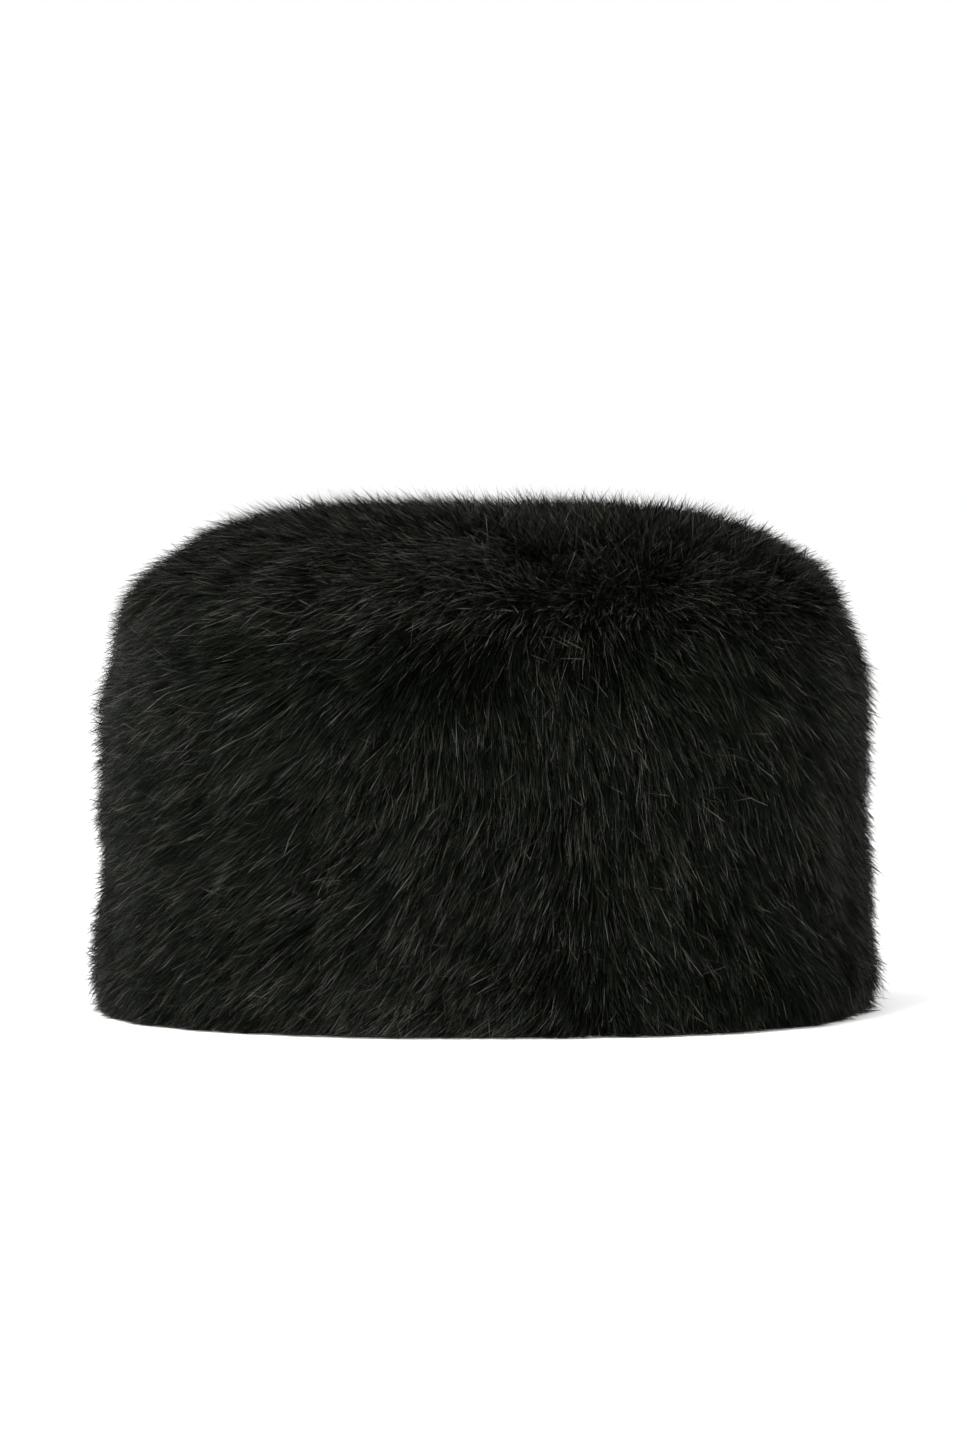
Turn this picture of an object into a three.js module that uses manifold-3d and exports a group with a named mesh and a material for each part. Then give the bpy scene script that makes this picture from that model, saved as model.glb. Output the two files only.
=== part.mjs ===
// A tall fur hat without flaps: an oval crown sewn to a straight side band, both of long black fur.
// The head opening is an oval hollow, and the fur stands off the pelt in combed, pointed locks.
// Millimetres, +Z up. The wearer faces -Y, and the origin is on the table under the middle of the rim.
import * as THREE from "three";
import { mergeVertices } from "three/addons/utils/BufferGeometryUtils.js";
import Module from "manifold-3d";

const wasm = await Module();
wasm.setup();

// Driving sizes
const SEGMENTS_AROUND = 44; // facets round the hat
const SEAM_HEIGHT = 116; // where the crown is sewn to the side band
const SEAM_GAP = 0.35; // air left between the two pieces
const LOCK_RISE = 7.5; // how far the locks stand off the underfur
const TABLE = 0;
const BEYOND = 300; // past the hat on every side, for the tools that cut it

// The hollow that the head goes into, full width and depth at each height
const HOLLOW = [
  { height: 0, width: 164, depth: 204 },
  { height: 55, width: 163, depth: 203 },
  { height: 95, width: 159, depth: 199 },
  { height: 113, width: 150, depth: 190 },
  { height: 123, width: 132, depth: 172 },
  { height: 127, width: 104, depth: 144 },
];

// The fur's outer form, from the brushed-out hem to the flat top
const FUR = [
  { height: 0, width: 243, depth: 283 },
  { height: 9, width: 248, depth: 288 },
  { height: 24, width: 240, depth: 280 },
  { height: 50, width: 239, depth: 279 },
  { height: 92, width: 240, depth: 280 },
  { height: 112, width: 236, depth: 276 },
  { height: 128, width: 226, depth: 266 },
  { height: 140, width: 206, depth: 245 },
  { height: 149, width: 176, depth: 213 },
  { height: 155, width: 132, depth: 164 },
  { height: 158, width: 66, depth: 82 },
];

// How the side band is combed: degrees from straight down towards the wearer's right,
// at four heights, for each bearing round the hat (0 is +X, 270 is the front)
const COMB_HEIGHTS = { hem: 20, low: 50, high: 80, top: 110 };
const COMB = [
  { around: 0, hem: -20, low: -24, high: -32, top: -50 },
  { around: 45, hem: -12, low: -14, high: -20, top: -30 },
  { around: 90, hem: 4, low: 4, high: 4, top: 6 },
  { around: 135, hem: 35, low: 40, high: 45, top: 50 },
  { around: 180, hem: 50, low: 58, high: 66, top: 72 },
  { around: 215, hem: 46, low: 52, high: 62, top: 70 },
  { around: 240, hem: 38, low: 36, high: 42, top: 54 },
  { around: 258, hem: 40, low: 28, high: 20, top: 28 },
  { around: 272, hem: 42, low: 18, high: 5, top: 6 },
  { around: 284, hem: 30, low: 2, high: 0, top: -6 },
  { around: 290, hem: -8, low: -4, high: -6, top: -18 },
  { around: 318, hem: -10, low: -10, high: -20, top: -42 },
  { around: 340, hem: -17, low: -18, high: -28, top: -48 },
  { around: 360, hem: -20, low: -24, high: -32, top: -50 },
];

// The crown's fur runs out from a whorl a little in front of the middle, more sideways than forwards
const WHORL = { x: 25, y: -55, squash: 0.6 };
const COMB_BLEND = { from: 112, to: 140 }; // heights between the band's combing and the crown's

// Locks: staggered rows on the side band, and a spiral of them over the crown
const BAND_ROWS = [
  { height: 122, count: 22 },
  { height: 95, count: 22 },
  { height: 67, count: 22 },
  { height: 40, count: 24 },
];
const BAND_SCATTER = { bearing: 0.15, height: 3 }; // bearing as a share of the step between locks
const CROWN_LOCKS = 34;
const CROWN_REACH = { x: 106, y: 126, rim: 0.9, rimHeight: 130 }; // the spiral's last turn
const GOLDEN_ANGLE = Math.PI * (3 - Math.sqrt(5));
const LOCK = { length: 60, width: 38, thick: 5, root: 6, sink: 1 };
const LOCK_VARIES = { turn: 0.2, length: [0.85, 1.12], width: [0.88, 1.12], rise: [0.85, 1.15] };
const LOCK_STATIONS = [
  { along: 0, wide: 0.7, thick: 0 },
  { along: 0.5, wide: 1, thick: 1 },
  { along: 1, wide: 0.1, thick: 0 },
];

// The same run of numbers each time, for the uneven look of real locks
let seed = 20;
function random(low, high) {
  seed = (seed * 16807) % 2147483647;
  return low + ((high - low) * seed) / 2147483647;
}

// The fur's form drawn in by the locks' rise, at the sides and on the top alike
const UNDERFUR = FUR.map(({ height, width, depth }) => ({
  height: height - LOCK_RISE * THREE.MathUtils.smoothstep(height, SEAM_HEIGHT, FUR.at(-1).height),
  width: width - 2 * LOCK_RISE,
  depth: depth - 2 * LOCK_RISE,
}));

function onOval(around, { width, depth, height }) {
  return new THREE.Vector3((width / 2) * Math.cos(around), (depth / 2) * Math.sin(around), height);
}

// The place on the underfur nearest to a point: its point, outward normal and bearing
const UNDERFUR_STEPS = 160;
const profile = new THREE.CatmullRomCurve3(
  UNDERFUR.map(({ width, depth, height }) => new THREE.Vector3(width, depth, height)),
  false,
  "centripetal",
)
  .getSpacedPoints(UNDERFUR_STEPS)
  .map(({ x, y, z }) => ({ width: x, depth: y, height: z }));

function nearest(from) {
  const around = Math.atan2(from.y / profile[0].depth, from.x / profile[0].width);
  const away = profile.map((section) => onOval(around, section).distanceTo(from));
  const best = THREE.MathUtils.clamp(away.indexOf(Math.min(...away)), 1, UNDERFUR_STEPS - 1);
  const [below, point, above] = [-1, 0, 1].map((step) => onOval(around, profile[best + step]));
  const up = above.sub(below).normalize();
  const { width, depth } = profile[best];
  const along = new THREE.Vector3(-width * Math.sin(around), depth * Math.cos(around), 0).normalize();
  return { point, normal: along.clone().cross(up).normalize(), up, along, around };
}

// The combed direction of the fur at a place on the underfur
function combed({ point, normal, up, along, around }) {
  const bearing = THREE.MathUtils.euclideanModulo(THREE.MathUtils.radToDeg(around), 360);
  const next = Math.max(COMB.findIndex((row) => row.around > bearing), 1);
  const [before, after] = [COMB[next - 1], COMB[next]];
  const share = (bearing - before.around) / (after.around - before.around);
  const levels = Object.keys(COMB_HEIGHTS);
  const upper = Math.max(levels.findIndex((level) => COMB_HEIGHTS[level] > point.z), 0) || levels.length - 1;
  const [low, high] = [levels[upper - 1], levels[upper]];
  const leanAt = (level) => THREE.MathUtils.lerp(before[level], after[level], share);
  const rise = (point.z - COMB_HEIGHTS[low]) / (COMB_HEIGHTS[high] - COMB_HEIGHTS[low]);
  const lean = THREE.MathUtils.degToRad(
    THREE.MathUtils.lerp(leanAt(low), leanAt(high), THREE.MathUtils.clamp(rise, 0, 1)),
  );
  const onBand = up.clone().multiplyScalar(-Math.cos(lean)).addScaledVector(along, -Math.sin(lean));
  const onCrown = new THREE.Vector3(point.x - WHORL.x, WHORL.squash * (point.y - WHORL.y), 0);
  onCrown.projectOnPlane(normal).normalize();
  const crownShare = THREE.MathUtils.smoothstep(point.z, COMB_BLEND.from, COMB_BLEND.to);
  return onBand.lerp(onCrown, crownShare).projectOnPlane(normal).normalize();
}

function solidOf(geometry) {
  const bare = new THREE.BufferGeometry();
  bare.setAttribute("position", geometry.getAttribute("position"));
  bare.setIndex(geometry.index);
  const merged = mergeVertices(bare);
  return new wasm.Manifold(
    new wasm.Mesh({
      numProp: 3,
      vertProperties: merged.attributes.position.array,
      triVerts: new Uint32Array(merged.index.array),
    }),
  );
}

// A closed skin over rings of equal size, with a fan at each end. Each ring runs
// anticlockwise as seen from the last one.
function lofted(rings, first, last) {
  const count = rings[0].length;
  const points = [first, ...rings.flat(), last];
  const rim = 1 + (rings.length - 1) * count;
  const faces = [];
  for (let i = 0; i < count; i++) {
    const j = (i + 1) % count;
    faces.push(0, 1 + j, 1 + i);
    for (let low = 1; low < rim; low += count) {
      const high = low + count;
      faces.push(low + i, low + j, high + j, low + i, high + j, high + i);
    }
    faces.push(rim + i, rim + j, points.length - 1);
  }
  const geometry = new THREE.BufferGeometry().setFromPoints(points);
  geometry.setIndex(faces);
  return solidOf(geometry);
}

// A full oval body through sections, closed flat at its foot and at its top
function ovalBody(sections) {
  const bearings = Array.from({ length: SEGMENTS_AROUND }, (_, i) => (i * 2 * Math.PI) / SEGMENTS_AROUND);
  const rings = sections.map((section) => bearings.map((around) => onOval(around, section)));
  const middle = ({ height }) => new THREE.Vector3(0, 0, height);
  return lofted(rings, middle(sections[0]), middle(sections.at(-1)));
}

// All that lies between two heights
function layer(low, high) {
  const box = new THREE.BoxGeometry(2 * BEYOND, 2 * BEYOND, high - low);
  return solidOf(box.translate(0, 0, (low + high) / 2));
}

// One pointed lock, combed along the underfur from its root and sunk into it all the way
function lock(from) {
  const root = nearest(from);
  const flow = combed(root).applyAxisAngle(root.normal, random(-LOCK_VARIES.turn, LOCK_VARIES.turn));
  const length = LOCK.length * random(...LOCK_VARIES.length);
  const width = LOCK.width * random(...LOCK_VARIES.width);
  const rise = LOCK_RISE * random(...LOCK_VARIES.rise);
  const sections = LOCK_STATIONS.map(({ along, wide, thick }) => {
    const { point, normal } = nearest(root.point.clone().addScaledVector(flow, length * along));
    const side = normal.clone().cross(flow).normalize();
    const middle = point.clone().addScaledVector(normal, rise * along - LOCK.sink);
    return [
      middle.clone().addScaledVector(side, (width / 2) * wide),
      middle.clone().addScaledVector(normal, LOCK.thick * thick),
      middle.clone().addScaledVector(side, (-width / 2) * wide),
      point.clone().addScaledVector(normal, -LOCK.root),
    ];
  });
  const inside = (section) => section[1].clone().lerp(section[3], 0.5);
  const first = inside(sections[0]).addScaledVector(flow, -LOCK.sink);
  const last = inside(sections.at(-1)).addScaledVector(flow, LOCK.sink);
  return lofted(sections, first, last);
}

// A solid's outermost skin, without the small pockets that the locks shut in
function outermost(solid) {
  return solid.decompose().reduce((a, b) => (a.volume() > b.volume() ? a : b));
}

const fullUnderfur = ovalBody(UNDERFUR);
const hollow = ovalBody([{ ...HOLLOW[0], height: TABLE - BEYOND }, ...HOLLOW]);
const belowTable = layer(-BEYOND, TABLE);

// Crown: the top oval, whose locks lie outwards over the shoulder and end at the seam
const crownLocks = Array.from({ length: CROWN_LOCKS }, (_, i) => {
  const reach = Math.sqrt((i + 0.5) / CROWN_LOCKS);
  const bearing = i * GOLDEN_ANGLE;
  const height = reach > CROWN_REACH.rim ? CROWN_REACH.rimHeight : FUR.at(-1).height;
  return lock(
    new THREE.Vector3(
      CROWN_REACH.x * reach * Math.cos(bearing),
      CROWN_REACH.y * reach * Math.sin(bearing),
      height,
    ),
  );
});
const crown = wasm.Manifold.union([fullUnderfur, ...crownLocks])
  .subtract(layer(-BEYOND, SEAM_HEIGHT))
  .subtract(hollow);

// Side band: the straight wall of fur, whose lowest locks spread on the table
const bandLocks = BAND_ROWS.flatMap(({ height, count }, row) =>
  Array.from({ length: count }, (_, i) => {
    const stagger = (row % 2) / 2 + random(-BAND_SCATTER.bearing, BAND_SCATTER.bearing);
    const around = ((i + stagger) * 2 * Math.PI) / count;
    const level = height + random(-BAND_SCATTER.height, BAND_SCATTER.height);
    return lock(onOval(around, { ...UNDERFUR[0], height: level }));
  }),
);
const band = wasm.Manifold.union([fullUnderfur, ...bandLocks])
  .subtract(layer(SEAM_HEIGHT - SEAM_GAP, BEYOND))
  .subtract(hollow)
  .subtract(belowTable);

function meshOf(name, solid, material) {
  const { vertProperties, triVerts } = outermost(solid).getMesh();
  const geometry = new THREE.BufferGeometry();
  geometry.setAttribute("position", new THREE.BufferAttribute(vertProperties, 3));
  geometry.setIndex(new THREE.BufferAttribute(triVerts, 1));
  geometry.computeVertexNormals();
  const mesh = new THREE.Mesh(geometry, material);
  mesh.name = name;
  return mesh;
}

const crownFur = new THREE.MeshStandardMaterial({ color: 0x1b1c18, roughness: 0.85, metalness: 0 });
const bandFur = new THREE.MeshStandardMaterial({ color: 0x181916, roughness: 0.85, metalness: 0 });
const hat = new THREE.Group();
hat.add(meshOf("crown", crown, crownFur), meshOf("side_band", band, bandFur));

export default hat;
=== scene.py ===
"""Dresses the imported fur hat: a tall, flat-topped oval hat of long black fur, without flaps.

Metres, +Z up, the front at -Y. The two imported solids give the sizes. A dark shell of underfur
stands for each of them, and combed hairs grow out of the shells to the solids' outer form.
"""

from __future__ import annotations

import logging
import math
from collections.abc import Mapping, Sequence
from dataclasses import dataclass, field
from enum import Enum
from typing import Any

import bmesh
import bpy
import numpy as np
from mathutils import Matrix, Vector, noise
from mathutils.kdtree import KDTree

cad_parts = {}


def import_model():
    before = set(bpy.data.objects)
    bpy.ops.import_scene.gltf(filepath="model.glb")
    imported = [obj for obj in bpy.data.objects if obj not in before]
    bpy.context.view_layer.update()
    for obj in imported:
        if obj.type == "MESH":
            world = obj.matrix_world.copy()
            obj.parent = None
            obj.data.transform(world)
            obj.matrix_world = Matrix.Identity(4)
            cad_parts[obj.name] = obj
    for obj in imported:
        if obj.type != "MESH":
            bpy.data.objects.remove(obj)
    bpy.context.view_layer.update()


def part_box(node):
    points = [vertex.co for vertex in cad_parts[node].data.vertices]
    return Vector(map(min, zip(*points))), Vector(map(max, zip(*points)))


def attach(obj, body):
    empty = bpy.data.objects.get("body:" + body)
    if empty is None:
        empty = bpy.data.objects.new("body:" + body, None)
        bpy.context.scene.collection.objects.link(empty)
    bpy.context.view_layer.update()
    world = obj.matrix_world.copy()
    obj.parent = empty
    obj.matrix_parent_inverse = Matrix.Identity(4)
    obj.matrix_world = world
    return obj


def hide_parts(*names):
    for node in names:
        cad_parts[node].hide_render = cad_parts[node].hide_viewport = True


LOG = logging.getLogger("fur_hat")
BODY = "root"
HAIR_MAP = "OFBake"  # each hair's own map: u is its shade, v runs from root to tip
SHADE_COLUMNS = 64
PLASTIC_NUMBER = 1.32471795724474602596  # its powers spread places evenly over a surface
TINY = 1e-12  # keeps divisions clear of nought
WHITE = (1.0, 1.0, 1.0, 1.0)

Array = np.ndarray
Colour = tuple[float, float, float]
Paint = tuple[float, float, float, float]  # a colour and its opacity
Oval = tuple[float, float, float]  # half width, half depth and height
Settings = Mapping[str, Any]
Inputs = Mapping[str | int, Any]


def placed(name: str, data: bpy.types.ID) -> bpy.types.Object:
    """A new object in the scene, which shows a mesh, a lamp or a camera."""
    made = bpy.data.objects.new(name, data)
    bpy.context.scene.collection.objects.link(made)
    return made


def unit(vectors: Array) -> Array:
    """Rows of vectors at length one."""
    return vectors / np.maximum(np.linalg.norm(vectors, axis=-1, keepdims=True), TINY)


def along_surface(vectors: Array, normals: Array) -> Array:
    """Vectors without their part along the normals."""
    return vectors - normals * (vectors * normals).sum(axis=1, keepdims=True)


def rotated(vectors: Array, axes: Array, angles: Array) -> Array:
    """Vectors turned about axes that are square to them."""
    return vectors * np.cos(angles) + np.cross(axes, vectors) * np.sin(angles)


def eased(value: Array, low: float, high: float) -> Array:
    """A smooth step from 0 at low to 1 at high."""
    share = np.clip((value - low) / (high - low), 0, 1)
    return share * share * (3 - 2 * share)


def bulge(value: Array, middle: float, reach: float) -> Array:
    """A smooth hump, 1 at its middle."""
    return np.exp(-(((value - middle) / reach) ** 2))


def smooth_line(points: Array, count: int) -> Array:
    """A smooth line through points.

    Args:
        points: the points, one to a row.
        count: how many evenly spaced samples to return.

    Returns:
        The samples, one to a row.
    """
    ends = np.vstack([2 * points[0] - points[1], points, 2 * points[-1] - points[-2]])
    steps_between = 24
    t = np.linspace(0, 1, steps_between, endpoint=False)[:, None]
    spans = []
    for a, b, c, d in zip(ends, ends[1:], ends[2:], ends[3:], strict=False):
        bend = (2 * a - 5 * b + 4 * c - d) * t**2 + (3 * b - a - 3 * c + d) * t**3
        spans.append((2 * b + (c - a) * t + bend) / 2)
    dense = np.vstack([*spans, points[-1:]])
    steps = np.linalg.norm(np.diff(dense, axis=0), axis=1)
    reached = np.concatenate([[0], np.cumsum(steps)])
    even = np.linspace(0, reached[-1], count)
    return np.stack([np.interp(even, reached, column) for column in dense.T], axis=1)


@dataclass
class Ripple:
    """Smooth noise in space, made of a few waves.

    Args:
        wavelength: the middle wavelength.
        seed: picks the waves.
        waves: how many there are.
        lengths: the shortest and the longest wavelength, as shares of the middle one.
    """

    wavelength: float
    seed: int
    waves: int = 12
    lengths: tuple[float, float] = (0.6, 1.7)

    def __post_init__(self) -> None:
        """Draws the waves' directions, lengths and phases."""
        draw = np.random.default_rng(self.seed)
        turns = unit(draw.normal(size=(self.waves, 3)))
        lengths = self.wavelength * draw.uniform(*self.lengths, (self.waves, 1))
        self.pitch = turns * (math.tau / lengths)
        self.phase = draw.uniform(0, math.tau, self.waves)

    def at(self, points: Array) -> Array:
        """The noise at points, mostly between -1 and 1."""
        return np.sin(points @ self.pitch.T + self.phase).sum(axis=1) / math.sqrt(self.waves)


@dataclass
class Places:
    """Places on the hat's outer form, one to a row.

    Args:
        point: where each is.
        normal: the way out of the hat there.
        up: the way up the outline.
        along: the way round the hat.
        bearing: the oval's own angle, from +X towards the back.
    """

    point: Array
    normal: Array
    up: Array
    along: Array
    bearing: Array


@dataclass
class HatForm:
    """The hat's outer form: ovals that change with height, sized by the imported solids.

    Args:
        half_width: the widest oval's reach to each side.
        half_depth: its reach to the front and back.
        height: the top of the fur.
        seam: where the crown meets the side band.
        levels: rows of share of the height, and share of the width there.
        square: how far the ovals bulge between their ends and sides, as a share.
        samples: how finely the outline is worked out.
    """

    half_width: float
    half_depth: float
    height: float
    seam: float
    levels: tuple[tuple[float, float], ...] = (
        (0.0, 0.957),
        (0.06, 0.99),
        (0.15, 0.978),
        (0.3, 0.965),
        (0.55, 0.966),
        (0.7, 0.952),
        (0.79, 0.913),
        (0.86, 0.853),
        (0.915, 0.753),
        (0.955, 0.664),
        (0.985, 0.505),
        (0.998, 0.23),
        (1.0, 0.0),
    )
    square: float = 0.055
    samples: int = 261

    def __post_init__(self) -> None:
        """Works out the outline from hem to top."""
        rows = np.array(self.levels) * (self.height, self.half_width)
        line = smooth_line(rows[:, ::-1], self.samples)
        self.across, self.rise = line[:, 0].clip(0), line[:, 1]
        self.slope = np.gradient(line, axis=0)

    def depth_at(self, across: Array) -> Array:
        """The oval's reach to the front where its reach to the side is across."""
        left = 1 - np.clip(across / self.half_width, 0, 1)
        return across + (self.half_depth - self.half_width) * (1 - left**2)

    def bulged(self, bearing: Array) -> Array:
        """How much wider than a plain oval the hat is at each bearing."""
        return 1 + self.square * np.sin(2 * bearing) ** 2

    def sample(self, place: Array, bearing: Array) -> Places:
        """The places at given steps up the outline and at given bearings.

        Args:
            place: steps along the outline, which may fall between two samples.
            bearing: the oval's own angle, from +X towards the back.

        Returns:
            The places.
        """
        steps = np.arange(self.samples)
        across = np.interp(place, steps, self.across)
        rise = np.interp(place, steps, self.rise)
        slope_across = np.interp(place, steps, self.slope[:, 0])
        slope_rise = np.interp(place, steps, self.slope[:, 1])
        depth = self.depth_at(across)
        nudge = 1e-5
        growth = (self.depth_at(across + nudge) - depth) / nudge
        bulged = self.bulged(bearing)
        turning = 2 * self.square * np.sin(4 * bearing)
        cos, sin = np.cos(bearing), np.sin(bearing)
        flat = np.zeros_like(cos)
        sideways = (across + nudge) * (turning * cos - bulged * sin)
        along = unit(np.stack([sideways, (depth + nudge) * (turning * sin + bulged * cos), flat], axis=1))
        cos, sin = cos * bulged, sin * bulged
        up = unit(np.stack([slope_across * cos, slope_across * growth * sin, slope_rise], axis=1))
        normal = unit(np.cross(along, up))
        return Places(np.stack([across * cos, depth * sin, rise], axis=1), normal, up, along, bearing)

    def nearest(self, points: Array) -> Places:
        """The places on the form nearest to points in space."""
        x, y, z = points.T
        least = 1e-6
        rounds, block = 3, 8192
        across = np.maximum(np.hypot(x, y * self.half_width / self.half_depth), least)
        for _ in range(rounds):
            bearing = np.arctan2(y / self.depth_at(across), x / across)
            reach = np.hypot(x, y * across / self.depth_at(across)) / self.bulged(bearing)
            across = np.maximum(reach, least)
        bearing = np.arctan2(y / self.depth_at(across), x / across)
        best = np.empty(len(points))
        for start in range(0, len(points), block):
            part = slice(start, start + block)
            away = (across[part, None] - self.across) ** 2 + (z[part, None] - self.rise) ** 2
            middle = away.argmin(axis=1).clip(1, self.samples - 2)
            row = np.arange(len(middle))
            before, here, after = (away[row, middle + step] for step in (-1, 0, 1))
            bend = np.maximum(before - 2 * here + after, TINY)
            best[part] = middle + np.clip((before - after) / (2 * bend), -1, 1)
        return self.sample(best, bearing)

    def scatter(self, count: int, front_share: float, start: float) -> Places:
        """Spreads places evenly over the whole form.

        Args:
            count: how many.
            front_share: how much closer together they are at the front than at the back.
            start: shifts the pattern, so that two of them don't coincide.

        Returns:
            The places, in an order whose every beginning is evenly spread too.
        """
        order = np.arange(1, count + 1)
        first = (start + order / PLASTIC_NUMBER) % 1
        second = (start + order / PLASTIC_NUMBER**2) % 1
        girth = (self.across + self.depth_at(self.across)) * np.linalg.norm(self.slope, axis=1)
        below = np.concatenate([[0], np.cumsum((girth[1:] + girth[:-1]) / 2)])
        place = np.interp(first, below / below[-1], np.arange(self.samples))
        half_degrees = 720
        angle = np.linspace(-math.pi, math.pi, half_degrees + 1)
        pace = np.hypot(self.half_width * np.sin(angle), self.half_depth * np.cos(angle))
        pace *= 1 - front_share * np.sin(angle)
        round_it = np.concatenate([[0], np.cumsum((pace[1:] + pace[:-1]) / 2)])
        return self.sample(place, np.interp(second, round_it / round_it[-1], angle))


@dataclass
class Comb:
    """The way the fur lies.

    Args:
        form: the form that it lies on.
        rows: for each bearing in degrees from +X towards the back, the lean from straight down
            towards the wearer's right, in degrees, at the four heights.
        heights: those heights, as shares of the hat's.
        whorl: where the crown's fur runs out from, as shares of the half width and half depth.
        squash: how much less the crown's fur runs forwards than sideways.
        blend: the heights, as shares, between which the band's lie turns into the crown's.
        upright: how far round the whorl the hairs stand more upright.
        shortest: the share of its reach that a hair keeps at the whorl itself.
    """

    form: HatForm
    rows: tuple[tuple[float, float, float, float, float], ...] = (
        # bearing, hem, low, high, top
        (0, -20, -24, -30, -44),
        (45, -12, -14, -20, -30),
        (90, 4, 4, 4, 6),
        (135, 35, 40, 45, 50),
        (180, 50, 58, 66, 72),
        (215, 46, 52, 62, 70),
        (240, 38, 36, 42, 54),
        (258, 40, 28, 20, 28),
        (272, 42, 18, 5, 6),
        (284, 30, 2, 0, -6),
        (290, -8, -4, -4, -10),
        (318, -10, -9, -14, -26),
        (340, -16, -16, -22, -36),
        (360, -20, -24, -30, -44),
    )
    heights: tuple[float, ...] = (0.12, 0.31, 0.5, 0.69)
    whorl: tuple[float, float] = (0.42, 0.5)
    squash: float = 0.42
    blend: tuple[float, float] = (0.7, 0.88)
    upright: float = 0.045
    shortest: float = 0.3

    def lean(self, places: Places) -> Array:
        """The lean in radians at each place on the band."""
        table = np.array(self.rows)
        bearing = np.degrees(places.bearing) % 360
        leans = np.stack([np.interp(bearing, table[:, 0], column) for column in table[:, 1:].T])
        level = np.interp(places.point[:, 2] / self.form.height, self.heights, range(len(self.heights)))
        lower = np.minimum(level.astype(int), len(self.heights) - 2)
        each = np.arange(len(level))
        between = level - lower
        return np.radians(leans[lower, each] * (1 - between) + leans[lower + 1, each] * between)

    def from_whorl(self, points: Array) -> Array:
        """Each point's offset from the whorl, seen from above."""
        centre = (self.whorl[0] * self.form.half_width, self.whorl[1] * self.form.half_depth)
        return points[:, :2] - centre

    def freedom(self, points: Array) -> Array:
        """How far a hair may lie over: short of its full reach beside the whorl."""
        away = np.linalg.norm(self.from_whorl(points), axis=1)
        return self.shortest + (1 - self.shortest) * eased(away, 0, self.upright)

    def flow(self, places: Places, turn: Array) -> Array:
        """The direction in which hairs lie.

        Args:
            places: where.
            turn: how far each hair strays from its neighbours' direction, in radians.

        Returns:
            Unit directions along the surface.
        """
        lean = self.lean(places)[:, None]
        on_band = -places.up * np.cos(lean) - places.along * np.sin(lean)
        off = self.from_whorl(places.point)
        outward = np.column_stack([off[:, 0], self.squash * off[:, 1], np.zeros(len(off))])
        on_crown = unit(along_surface(outward, places.normal))
        low, high = (share * self.form.height for share in self.blend)
        share = eased(places.point[:, 2], low, high)[:, None]
        mixed = unit(along_surface(on_band * (1 - share) + on_crown * share, places.normal))
        return rotated(mixed, places.normal, turn[:, None])


@dataclass(frozen=True)
class HairKind:
    """The build of one kind of hair.

    Args:
        count: how many grow on the whole hat.
        reach: how far a tip lies from its root along the surface.
        depth: how far the root lies under the outer form.
        radius: the thickest part's radius.
        stations: shares of the length at which a hair bends.
        rise: how much of its climb to the surface a hair makes near its root.
        stray: how far hairs turn from their neighbours' direction, in degrees.
        lift: how far tips stand off the outer form.
        scatter: how much that varies.
        highest: the most that a tip's lift may be, before the fur's own unevenness is added.
        curl: how much a hair bows sideways.
        held: the least and the most that a tuft draws in the hairs' tips.
        loose: the share of hairs that tufts hardly hold, and that stray further.
    """

    count: int
    reach: float
    depth: float
    radius: float
    stations: tuple[float, ...]
    rise: float = 1.3
    stray: float = 12.0
    lift: float = 0.0002
    scatter: float = 0.0022
    highest: float = 0.0065
    curl: float = 0.04
    held: tuple[float, float] = (0.25, 0.8)
    loose: float = 0.18


@dataclass
class Tufts:
    """Tufts of one size: each has a middle line that the hairs round its root lean towards.

    Args:
        lines: the middle lines' knots, by tuft, station and axis.
        stations: the shares of the length at those knots.
        strength: how strongly these tufts hold, against what a kind of hair states.
        onset: how late along a hair its tuft takes hold.
    """

    lines: Array
    stations: tuple[float, ...]
    strength: float
    onset: float = 1.4

    def __post_init__(self) -> None:
        """Sorts the tufts by place."""
        self.tree = KDTree(len(self.lines))
        for index, root in enumerate(self.lines[:, 0]):
            self.tree.insert(root, index)
        self.tree.balance()

    def gather(self, knots: Array, kind: HairKind, held: Array) -> Array:
        """Draws hairs towards their tufts.

        Args:
            knots: the hairs' knots.
            kind: their kind.
            held: how strongly each hair is held.

        Returns:
            The knots after it.
        """
        which = np.fromiter((self.tree.find(root)[1] for root in knots[:, 0]), int, len(knots))
        places = np.interp(kind.stations, self.stations, range(len(self.stations)))
        lower = np.minimum(places.astype(int), len(self.stations) - 2)
        between = (places - lower)[None, :, None]
        own = self.lines[which]
        line = own[:, lower] * (1 - between) + own[:, lower + 1] * between
        late = (np.array(kind.stations) ** self.onset)[None, :, None]
        pull = held[:, None, None] * self.strength * late
        return knots + (line - knots) * pull


@dataclass(frozen=True)
class Patch:
    """A soft patch of the fur, used both for swells of its form and for patches of painted shade and painted
    light in its colour.

    Args:
        bearing: its middle, in degrees from +X towards the back.
        height: its middle, as a share of the hat's height.
        breadth: its reach to each side, in degrees.
        rise: its reach up and down, as a share.
        strength: what it adds at its middle.
    """

    bearing: float
    height: float
    breadth: float
    rise: float
    strength: float

    def at(self, places: Places, height: float) -> Array:
        """What the patch adds at each place on a hat of that height."""
        aside = (np.degrees(places.bearing) - self.bearing + 180) % 360 - 180
        return self.strength * bulge(aside, 0, self.breadth) * bulge(
            places.point[:, 2] / height, self.height, self.rise
        )


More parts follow.
